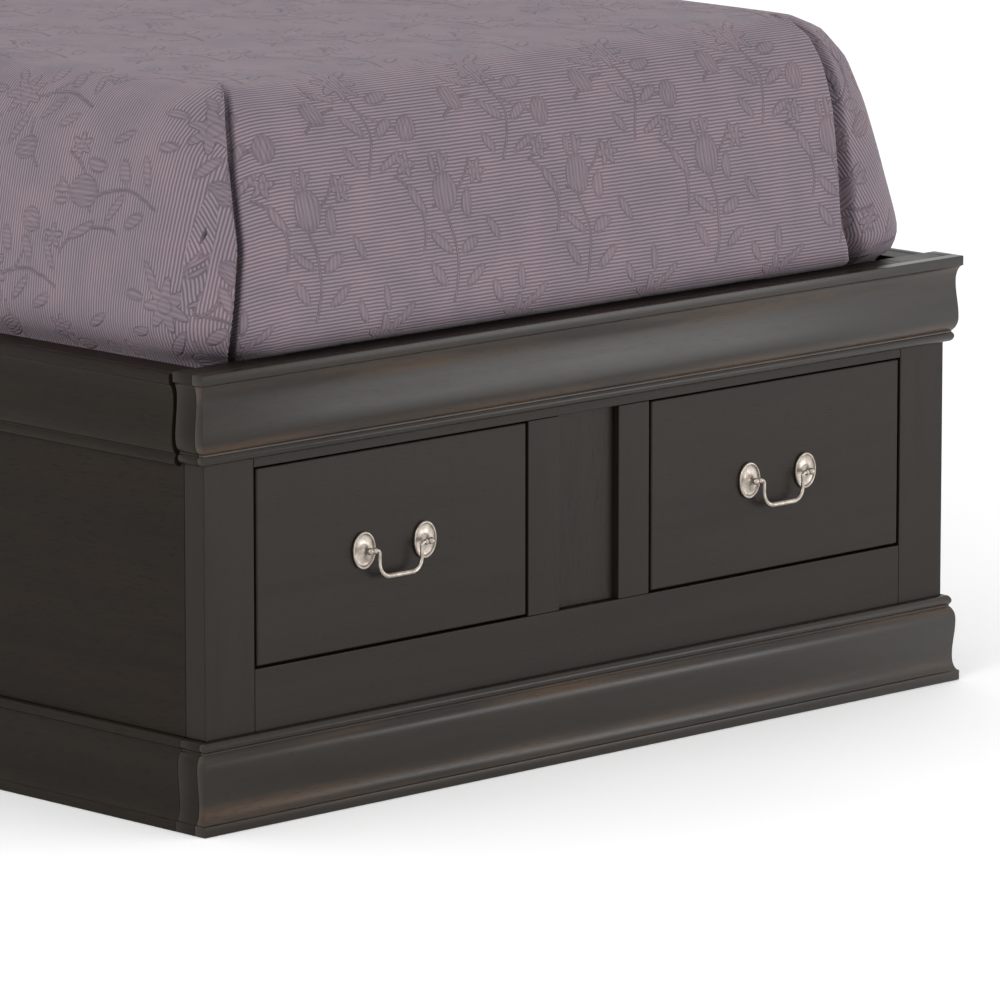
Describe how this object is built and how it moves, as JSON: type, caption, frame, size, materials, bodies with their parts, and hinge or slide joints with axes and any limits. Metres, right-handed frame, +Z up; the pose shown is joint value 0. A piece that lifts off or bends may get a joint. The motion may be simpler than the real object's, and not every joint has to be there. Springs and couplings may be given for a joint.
{
  "type": "platform bed with storage drawers",
  "caption": "Twin panel bed with dark moulded frame, flush drawers with bail pulls in its foot end, a headboard, and a mattress under a tucked-in quilted coverlet.",
  "frame": {"origin": "on the floor, at the middle of the bed's bounding box", "axes": "+X across the bed to its right as seen from the foot, +Y from the foot to the headboard, +Z up"},
  "size_m": [1.111, 2.03, 1.15],
  "materials": {
    "case_wood": "satin",
    "box_wood": "matte",
    "base_wood": "matte",
    "nickel": "satin",
    "zinc": "satin",
    "ticking": "matte",
    "matelasse": "matte"
  },
  "bodies": {
    "root": {"foot_post_left": "case_wood", "foot_post_right": "case_wood", "foot_stile_left": "case_wood", "foot_stile_right": "case_wood", "foot_top_rail": "case_wood", "foot_bottom_rail": "case_wood", "foot_centre_panel": "case_wood", "foot_cornice": "case_wood", "foot_base_moulding": "case_wood", "foot_cornice_return_left": "case_wood", "foot_cornice_return_right": "case_wood", "foot_base_return_left": "case_wood", "foot_base_return_right": "case_wood", "side_rail_left": "case_wood", "side_rail_right": "case_wood", "side_cornice_left": "case_wood", "side_cornice_right": "case_wood", "side_base_moulding_left": "case_wood", "side_base_moulding_right": "case_wood", "headboard_post_left": "case_wood", "headboard_post_right": "case_wood", "headboard_lower_rail": "case_wood", "headboard_panel": "case_wood", "headboard_crest": "case_wood", "slat_ledger_left": "base_wood", "slat_ledger_right": "base_wood", "slat_deck": "base_wood", "centre_beam": "base_wood", "beam_leg": "base_wood", "case_back": "base_wood", "case_side_left_outer": "base_wood", "case_side_left_inner": "base_wood", "case_side_right_outer": "base_wood", "case_side_right_inner": "base_wood", "case_runner_left_outer": "zinc", "case_runner_left_inner": "zinc", "case_runner_right_outer": "zinc", "case_runner_right_inner": "zinc", "mattress": "ticking", "coverlet": "matelasse"},
    "drawer_left": {"drawer_front_left": "case_wood", "drawer_side_left_outer": "box_wood", "drawer_side_left_inner": "box_wood", "drawer_back_left": "box_wood", "drawer_bottom_left": "box_wood", "drawer_runner_left_outer": "zinc", "drawer_runner_left_inner": "zinc", "pull_post_left_left": "nickel", "pull_post_left_right": "nickel"},
    "drawer_right": {"drawer_front_right": "case_wood", "drawer_side_right_outer": "box_wood", "drawer_side_right_inner": "box_wood", "drawer_back_right": "box_wood", "drawer_bottom_right": "box_wood", "drawer_runner_right_outer": "zinc", "drawer_runner_right_inner": "zinc", "pull_post_right_left": "nickel", "pull_post_right_right": "nickel"},
    "bail_left": {"bail_handle_left": "nickel"},
    "bail_right": {"bail_handle_right": "nickel"}
  },
  "joints": [
    {"name": "drawer_left_slide", "type": "slide", "parent": "root", "child": "drawer_left", "axis": [0, -1, 0], "range_m": [0, 0.33]},
    {"name": "bail_left_hinge", "type": "hinge", "parent": "drawer_left", "child": "bail_left", "pos_m": [-0.28075, -1.011, 0.26], "axis": [-1, 0, 0], "range_deg": [-12, 100]},
    {"name": "drawer_right_slide", "type": "slide", "parent": "root", "child": "drawer_right", "axis": [0, -1, 0], "range_m": [0, 0.33]},
    {"name": "bail_right_hinge", "type": "hinge", "parent": "drawer_right", "child": "bail_right", "pos_m": [0.28075, -1.011, 0.26], "axis": [-1, 0, 0], "range_deg": [-12, 100]}
  ]
}
